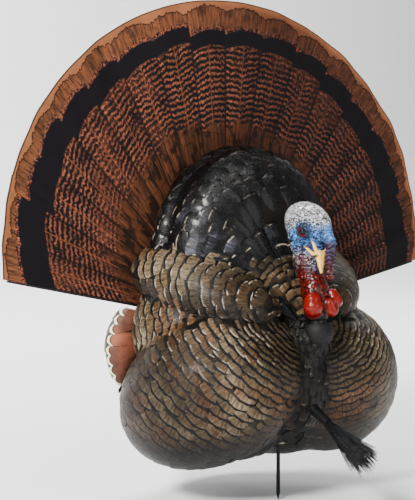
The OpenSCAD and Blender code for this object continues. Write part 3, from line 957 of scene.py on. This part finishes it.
# ---------------------------------------------------------------- head
def cone(P, a, ra, b, rb):
    a, b = np.array(a, float), np.array(b, float)
    ba = b - a
    h = np.clip(((P - a) @ ba) / (ba @ ba), 0, 1)
    return np.sqrt(((P - a - h[..., None] * ba) ** 2).sum(-1)) - (ra + (rb - ra) * h)


NECK_UP = np.array([0, math.sin(math.radians(10)), math.cos(math.radians(10))])
NECK_AT = np.array([0, -81, 222.0])
SKULL = (np.array([0, -60, 347.0]), np.array([24.2, 37, 26]), turn(18, 0, 0))
EYE = np.array([19.5, -76, 339.0])


def from_eye(P):
    return np.sqrt(((folded(P) - EYE) ** 2).sum(-1))


def head_zones(P):
    """Distances to the snood and to the smooth red wattles."""
    fold = (6, -97, 325)
    snood = smin(cone(P, (2, -89, 350), 7.0, fold, 6.0), cone(P, fold, 6.0, (5, -95, 284), 5.0), 3)
    balls = cone(P, (-12, -87, 248.6), 12.6, (-12, -86, 255), 10.5)
    balls = smin(balls, cone(P, (13, -92, 242.6), 7.8, (11, -90, 251), 7.2), 2)
    balls = smin(balls, cone(P, (20, -90, 253), 8.6, (18, -86, 262), 7), 2)
    return snood, balls


def warts(P):
    """How far a point is inside its own caruncle of the lower neck."""
    f1, f2 = worley(P + 2.0 * (fbm(P, 8, 31)[..., None] - 0.5), 5.4, 41)
    return f2 - f1


def head_fn(P):
    skull = ellipsoid(P, *SKULL)
    face = cone(P, (0, -68, 337), 17.5, (0, -80, 314), 8.5)
    waist = (0, -63, 292)
    neck = smin(cone(P, (0, -56, 328), 20, waist, 14.5), cone(P, waist, 14.5, (0, -75, 268), 16.5), 6)
    s = (P - NECK_AT) @ NECK_UP
    base = cone(P, NECK_AT + NECK_UP * 18, 15.5, NECK_AT + NECK_UP * 38, 14.5)
    d = smin(smin(smin(skull, face, 9), neck, 8), base, 8)
    snood, balls = head_zones(P)
    # sockets and raised lids round the eyes
    e = from_eye(P)
    d = d + 1.5 * np.exp(-((e - 9.5) / 3.2) ** 2) - 1.3 * np.exp(-((e - 6.2) / 1.3) ** 2)
    d = smin(smin(d, snood, 2.5), balls, 2.5)
    z = P[..., 2]
    # wrinkles ring the neck and the snood, and warty caruncles cover the lower neck
    wr = np.sin((z + 2.6 * (fbm(P, 9, 21) - 0.5) * 4 + 0.35 * P[..., 1]) * 2 * np.pi / 5.4)
    onsn = np.exp(-np.maximum(snood, 0) / 1.2)
    ring = step(340, 318, z) * step(276, 296, z)
    d = d - 0.95 * wr * np.maximum(ring, onsn * 0.9 * step(350, 338, z))
    lump = step(0.05, 0.75, warts(P))
    red = step(305, 288, z) * step(232, 244, z)
    smooth = np.exp(-np.maximum(balls, 0) / 1.5)
    d = d - (2.3 * lump - 1.2) * red * (1 - 0.86 * smooth)
    d = d - 0.55 * (fbm(P, 3.4, 51, 2) - 0.5) * 2 * (1 - 0.6 * smooth)
    # flat underside above the socket
    return smax(d, 4.6 - s, 1.0)


def beak_fn(P):
    """The bill, and on each side of it the two prongs of the gape."""
    Q = folded(P)
    a = cone(Q, (2.4, -84.5, 312), 5.0, (0.4, -87, 289.0), 1.2)
    b = cone(Q, (12.0, -83.5, 329), 1.2, (5.0, -86, 311), 2.6)
    c = cone(Q, (14.5, -72, 321), 1.2, (6.0, -83, 309), 2.6)
    return smin(smin(a, b, 1.5), c, 1.5)


def head_paint(P):
    y, z = P[:, 1], P[:, 2]
    snood, balls = head_zones(P)
    n1, n2 = fbm(P, 12, 61), fbm(P, 4.5, 71)
    white, blue = lin(236, 242, 250), lin(150, 190, 220)
    sky, pink, red = lin(170, 206, 228), lin(206, 118, 150), lin(158, 18, 22)
    plum = lin(120, 52, 104)

    def whole(c):
        return np.tile(c, (len(P), 1))

    e = from_eye(P)
    C = mixn(whole(white), sky, step(352, 338, z + 10 * (n1 - 0.5)) * step(-38, -58, y))
    C = mixn(C, blue, step(19, 9, e + 8 * (n2 - 0.5)) * 0.85)
    C = mixn(C, lin(30, 44, 66), step(9.6, 8.4, e) * 0.8)
    C = mixn(C, lin(186, 34, 38), step(8.3, 7.6, e) * step(4.0, -3.0, -(y - EYE[1]) + 0.6 * (z - EYE[2])))
    C = mixn(C, blue, step(334, 322, z + 8 * (n1 - .5)) * step(-66, -74, y) * step(296, 304, z) * 0.85)
    low = step(325, 306, z + 12 * (n1 - 0.5))
    C = mixn(C, mixn(whole(white * 0.8), pink, step(0.35, 0.6, n2)), low * step(-84, -74, y))
    C = mixn(C, red, step(303, 288, z + 12 * (n1 - 0.5) - 0.12 * (y + 70)))
    ons = step(2.2, 0.2, snood) * step(350, 344, z)
    sn = mixn(whole(sky), plum, step(336, 322, z + 8 * (n2 - .5)))
    C = mixn(C, mixn(sn, red, step(312, 292, z + 8 * (n1 - .5))), ons)
    # painted shade in the crevices between the caruncles of the lower neck
    C = mixn(C, lin(24, 8, 10), step(0.24, 0.06, warts(P)) * step(308, 292, z) * 0.9)
    C = mixn(C, lin(178, 20, 24), step(1.5, 0.0, balls))
    dark = step(250, 236, z) * step(2.0, 4.0, balls)
    C = mixn(C, lin(10, 9, 10), dark)
    wet = step(308, 290, z) * (1 - dark)
    return C, wet, step(286, 300, z) * (1 - ons * 0.5)


def head_material():
    m = Mat("painted_head_skin", ior=1.3)
    rest = m.attr("rest", "Vector")
    tint, wet, crown, pit = m.attr("tint", "Color"), m.attr("wet"), m.attr("crown"), m.attr("pit")
    n1 = m.noise(m.stretch(rest, (1, 1, 1.8)), 0.25, 2.0, 0.6, 1.6)
    n2 = m.noise(rest, 0.16, 3.0, 0.6)
    squig = (n1 - 0.5).abs().ramp(0.115, 0.075) * n2.ramp(0.30, 0.42)
    col = m.mix(squig * (crown * 0.88 + 0.12), tint, lin(10, 16, 26))
    # painted shade: the hollows are darkened almost to black
    col = m.mix(pit * 0.9, col, m.times(col, (0.05, 0.04, 0.05)))
    m.set(base_color=col, roughness=wet.ramp(0.0, 1.0, 0.5, 0.30), coat_weight=wet * 0.12,
          coat_roughness=0.14)
    m.bump(n1 * 0.5 + n2 * 0.5, 0.35, 0.7)
    return m.m


def build_head():
    h = 1.45
    v, f = nets((-30, -108, 224), (33, -18, 378), h, head_fn)
    v, N = snap(head_fn, v, 2)
    C, wet, crown = head_paint(v)
    # painted shade in the hollows: compare the surface with a smoothed copy of itself
    nb = np.zeros_like(v)
    cnt = np.zeros(len(v))
    for a, b in ((0, 1), (1, 2), (2, 3), (3, 0)):
        for here, there in ((a, b), (b, a)):
            np.add.at(nb, f[:, here], v[f[:, there]])
            np.add.at(cnt, f[:, here], 1)
    lap = ((nb / np.maximum(cnt, 1)[:, None] - v) * N).sum(1)
    pit = step(0.0, 0.20, lap * (1.45 / h) ** 2)
    ob = mesh_object("head_skin", v, f, head_material(), tint=C, wet=wet, crown=crown, pit=pit)
    settle(ob, "head", "head_shell")

    # horn beak: two prongs on each side of the face run together and down to the tip
    bm = Mat("beak_horn", ior=1.3)
    rest = bm.attr("rest", "Vector")
    g = bm.noise(bm.stretch(rest, (0.4, 0.4, 0.12)), 1.2, 3.0)
    horn = bm.mix(g, lin(232, 202, 154), lin(244, 228, 190))
    bm.set(base_color=bm.mix(bm.attr("nostril"), horn, lin(44, 28, 22)),
           roughness=g.ramp(0.3, 0.7, 0.35, 0.5))
    bm.bump(g, 0.3, 0.5)
    v, f = nets((-21, -100, 282), (21, -60, 338), 0.9, beak_fn)
    v, _ = snap(beak_fn, v, 1)
    q = folded(v) - np.array([8.2, -88.0, 308.5])
    hole = np.exp(-(((q[:, 0] + 0.3 * q[:, 2]) / 2.2) ** 2 + (q[:, 2] / 2.8) ** 2) ** 2)
    settle(mesh_object("beak", v, f, bm.m, nostril=hole), "head")

    # glossy iris with a dark pupil, painted about each eye's outward axis
    em = Mat("eye_glass", roughness=0.06, ior=1.35)
    o = em.obj()
    sep = em.t.nodes.new("ShaderNodeSeparateXYZ")
    plug(em.t, sep.inputs[0], o)
    eye_y, eye_z = -0.0790, 0.3392
    dy = (V(em.t, sep.outputs[1]) - eye_y) * 1000.0
    dz = (V(em.t, sep.outputs[2]) - eye_z) * 1000.0
    rr = (dy * dy + dz * dz).pow(0.5)
    iris = em.mix(em.noise(o, 900.0), lin(52, 18, 16), lin(84, 28, 22))
    col = em.mix(rr.ramp(3.6, 3.2), iris, lin(6, 6, 8))
    col = em.mix(rr.ramp(4.1, 4.4), col, lin(150, 26, 28))
    em.set(base_color=col)
    for nm in ("left_eye", "right_eye"):
        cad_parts[nm].data.materials.clear()
        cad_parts[nm].data.materials.append(em.m)


# ---------------------------------------------------------------- wings
WING = (np.array([104, 118, 183.0]), np.array([78, 56, 76.0]), turn(0, 0, 0))
FAN_SLOPE = math.radians(90 - SPREAD / 2)


def wing_fn(P, inset=1.2):
    Q = folded(P)
    a = ellipsoid(Q, *WING) + inset
    a = smax(a, REAR_Y + 0.5 - Q[..., 1], 14)
    a = smax(a, 46 - Q[..., 0], 6)
    up = -math.sin(FAN_SLOPE) * Q[..., 0] + math.cos(FAN_SLOPE) * (Q[..., 2] - HUB_Z + 8)
    a = smax(a, up, 6)
    for nm, c, r, R, e, k in LOBE:
        if nm in ("thigh", "rump", "belly"):
            a = smax(a, -(ellipsoid(Q, c, r, R) - 6), 6)
    return a


def wing_material():
    m = Mat("painted_wing_feathers", ior=1.3)
    rest = m.attr("rest", "Vector")
    s, barb, back, skirt = m.attr("s"), m.attr("barb"), m.attr("back"), m.attr("skirt")
    tint = m.attr("tint", "Color")
    n1 = m.noise(rest, 0.25, 3.0, 0.6)
    n2 = m.noise(rest, 0.07, 2.0)
    line = ((barb * 1.2 + (n1 - 0.5) * 1.3) * TAU).sin().ramp(-0.6, 0.9)
    col = m.mix(line, m.times(tint, (0.72, 0.68, 0.66)), m.times(tint, (1.45, 1.55, 1.62)))
    col = m.mix(n2.ramp(0.4, 0.7) * 0.4, col, m.times(col, (0.55, 0.48, 0.45)))
    # a dark line and then a white tip
    band, lip = back - n2 * 1.2, m.attr("lip")
    col = m.mix(band.ramp(5.2, 4.4) * band.ramp(2.8, 3.4) * lip, col, lin(30, 20, 18))
    col = m.mix(band.ramp(3.4, 2.8) * lip, col, lin(236, 230, 222))
    col = m.mix(skirt.ramp(0.3, 0.8).max(m.attr("u").abs().ramp(0.86, 0.97)) * 0.85, col, lin(30, 20, 18))
    m.set(base_color=col, roughness=n1.ramp(0.3, 0.7, 0.4, 0.55))
    m.bump(line * 0.4 + n1 * 0.3, 0.5, 0.8)
    return m.m


def build_wings():
    """The left wing, and its mirror image for the right one."""
    v, f = nets((40, 100, 100), (196, 180, 250), 4.0, wing_fn)
    v, _ = snap(wing_fn, v, 2)
    rng = np.random.default_rng(23)
    P = np.concatenate([v, v[f].mean(1)]) + rng.normal(0, 0.5, (len(v) + len(f), 3))
    P, n = snap(wing_fn, P, 2)
    hub = np.array([40, 112, 214.0])
    D = unit(unit(P - hub) + np.array([0.5, 0.0, -0.12]))
    D = unit(D - n * (D * n).sum(1, keepdims=True))
    T = np.cross(n, D)
    order = np.argsort(np.linalg.norm(P - hub, axis=1) + rng.uniform(0, 2, len(P)))
    picked, alive = [], P[:, 1] > 130
    W = 15 + 5 * step(230, 150, P[:, 2])
    E = np.full(len(P), 24.0)
    for i in order:
        if alive[i]:
            picked.append(i)
            q = P - P[i]
            a, b, c = (q @ T[i]) / (0.93 * W[i]), (q @ D[i]) / (1.16 * E[i]), (q @ n[i]) / 14.0
            alive[a * a + b * b + c * c < 1] = False
    picked = np.array(picked)
    back = feathers(wing_fn, P[picked], D[picked], T[picked], W[picked], E[picked],
                    np.random.default_rng(3), lift=1.3, tip=0.3, over=2.1)
    # one stack of long quills lies across the wing's front, each ending on its outline
    th = np.radians(np.arange(44, -74, -10.5))
    rim, mid = np.array([76.0, 74.0]), np.array([104, 183.0])
    F = mid + rim * np.stack([np.cos(th), np.sin(th)], -1)
    FD = unit(np.stack([0.55 + np.cos(th), 0.75 * np.sin(th) - 0.30], -1))
    FT = np.stack([-FD[:, 1], FD[:, 0]], -1)

    def wrap(along, across):
        """Lays a strip on the flat front and then back round the rim."""
        q = F[:, None] + FD[:, None] * (along + 13.0)[..., None] + FT[:, None] * across[..., None]
        e = np.linalg.norm((q - mid) / rim, axis=-1)
        q = mid + (q - mid) / np.maximum(e, 1)[..., None]
        return np.stack([q[..., 0], 107.5 + 70 * np.maximum(e - 1, 0), q[..., 1]], -1)

    front = feathers(wing_fn, F, None, None, np.full(len(F), 15.0), np.full(len(F), 90.0),
                     np.random.default_rng(9), lift=3.4, tip=0.5, over=1.05, place=wrap)
    vv, ff, at = join_parts([(back[0], back[1], back[3]), (front[0], front[1], front[3])])
    who = np.concatenate([back[2], front[2] + len(picked)])
    r = np.random.default_rng(4).random(len(picked) + len(F))[who]
    C = np.tile(lin(202, 150, 126), (len(vv), 1))
    C = mixn(C, lin(150, 104, 86), step(0.35, 0.7, fbm(vv, 24, 5)))
    C = mixn(C, lin(134, 90, 72), step(190, 140, vv[:, 2])) * (0.85 + 0.3 * r[:, None])
    flat = np.zeros(len(v))
    skin = dict(tint=np.tile(lin(90, 56, 40), (len(v), 1)), u=flat, s=flat + 0.9, skirt=flat,
                barb=v[:, 2] / 2, back=flat + 20, lip=flat)
    V2, F2, A2 = join_parts([(v, [f], skin),
                             (vv, ff, dict(tint=C, lip=np.where(who < len(picked), 0.35, 1.0), **at))])
    mat = wing_material()
    for side, word in ((1, "left"), (-1, "right")):
        faces = [g[:, ::side] for g in F2]
        ob = mesh_object(f"wing_{word}", V2 * [side, 1, 1], faces, mat, sharp=0.7, **A2)
        settle(ob, "body", f"{word}_wing")


# ---------------------------------------------------------------- beard
BEARD_DIR = np.array([0, -math.cos(math.radians(25)), -math.sin(math.radians(25))])


def build_beard():
    m = Mat("beard_bristle")
    rest, tone = m.attr("rest", "Vector"), m.attr("tone")
    n = m.noise(m.stretch(rest, (1, 0.2, 0.3)), 0.6, 2.0)
    m.set(base_color=m.mix(tone * n.ramp(0.2, 0.8), lin(8, 8, 10), lin(84, 86, 94)),
          roughness=n.ramp(0.2, 0.8, 0.24, 0.40), specular_ior_level=0.35)
    rng = np.random.default_rng(31)
    rt = np.array([1, 0, 0.0])
    ups = unit(np.cross(rt, BEARD_DIR))
    # four-sided strands with nine rings and two end caps
    strand_faces = np.concatenate([grid_faces(9, 4, wrap=True), [[3, 2, 1, 0], [32, 33, 34, 35]]])
    parts = []
    count, golden = 560, 2.39996
    ring = np.arange(4)[None, :, None] * np.pi / 2
    ring = rt * np.cos(ring) + ups * np.sin(ring)
    for k in range(count):
        q = math.sqrt((k + 0.5) / count)
        r0 = 3.7 * q
        stray = rng.random() < 0.05
        r1 = 20.0 * q ** 0.8 * rng.uniform(0.75, 1.05)
        L = rng.uniform(96, 111) if not stray else rng.uniform(104, 114)
        t = np.linspace(0, 1, 9)
        s = 24 + (L - 24) * t
        spread = r0 + (r1 - r0) * (0.75 * t + 0.25 * t ** 2)
        tw = k * golden + 0.5 * t * rng.normal(0, 0.7)
        wav = rng.normal(0, 0.5, 2)[None] * np.sin(t * np.pi * rng.uniform(0.7, 2))[:, None] * 1.6
        c = BEARD_AT + BEARD_DIR * s[:, None] + rt * (np.cos(tw) * spread + wav[:, 0])[:, None] \
            + ups * (np.sin(tw) * spread + wav[:, 1])[:, None]
        strand = (c[:, None] + ring * (0.62 * (1 - 0.7 * t))[:, None, None]).reshape(-1, 3)
        parts.append((strand, [strand_faces], dict(tone=np.full(36, rng.random() ** 2))))
    V0, F0, A0 = join_parts(parts)
    settle(mesh_object("beard_strands", V0, F0, m.m, **A0), "body", "beard_bristles")


# ---------------------------------------------------------------- hard parts keep their CAD shape
def hard_parts():
    def finish(m, n, w, a, b, rough, grain, depth):
        m.set(base_color=m.mix(w, a, b), roughness=n.ramp(0.3, 0.7, rough, rough + 0.16))
        m.bump(n, grain, depth)
        return m.m

    def plastic(name, a, b, rough, scale=500.0, grain=0.25):
        m = Mat(name, specular_ior_level=0.25)
        o = m.obj()
        n, w = m.noise(o, scale, 3.0), m.noise(o, scale * 0.12, 2.0)
        return finish(m, n, w, a, b, rough - 0.08, grain, 0.12)

    def metal(name, a, b, rough, metallic, along=(60, 60, 900)):
        m = Mat(name, metallic=metallic)
        o = m.obj()
        n = m.noise(m.stretch(o, along), 1.0, 3.0)
        return finish(m, n, m.noise(o, 40.0, 3.0) * n, a, b, rough, 0.18, 0.08)

    looks = {
        "black_plastic": plastic("moulded_black", lin(15, 15, 17), lin(28, 28, 30), 0.42),
        "painted_body": plastic("painted_dark", lin(9, 9, 9), lin(24, 22, 22), 0.62, 300.0, 0.5),
        "bush_plastic": plastic("natural_nylon", lin(190, 186, 172), lin(208, 204, 192), 0.45),
        "stake_steel": metal("blackened_steel", lin(22, 22, 24), lin(90, 90, 94), 0.3, 0.85, (900, 900, 40)),
        "zinc_steel": metal("zinc_plate", lin(168, 170, 174), lin(200, 200, 196), 0.3, 1.0),
        "rib_fibre": plastic("pultruded_fibre", lin(20, 17, 16), lin(40, 35, 31), 0.38, 300.0),
    }
    where = {
        "painted_body": ["neck_socket"],
        "bush_plastic": ["lower_bush", "top_bush"],
        "stake_steel": ["stake", "stake_collar"],
        "zinc_steel": ["bracket_screws", "fan_bolt", "rib_washers", "knob_washer"],
        "rib_fibre": [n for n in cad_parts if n.startswith("rib_") and n != "rib_washers"],
    }
    named = {n: k for k, ns in where.items() for n in ns}
    for n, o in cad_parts.items():
        if n.endswith("_eye") or o.hide_render:
            continue
        o.data.materials.clear()
        o.data.materials.append(looks[named.get(n, "black_plastic")])


studio()
build_body()
build_fan()
build_head()
build_wings()
build_beard()
hard_parts()
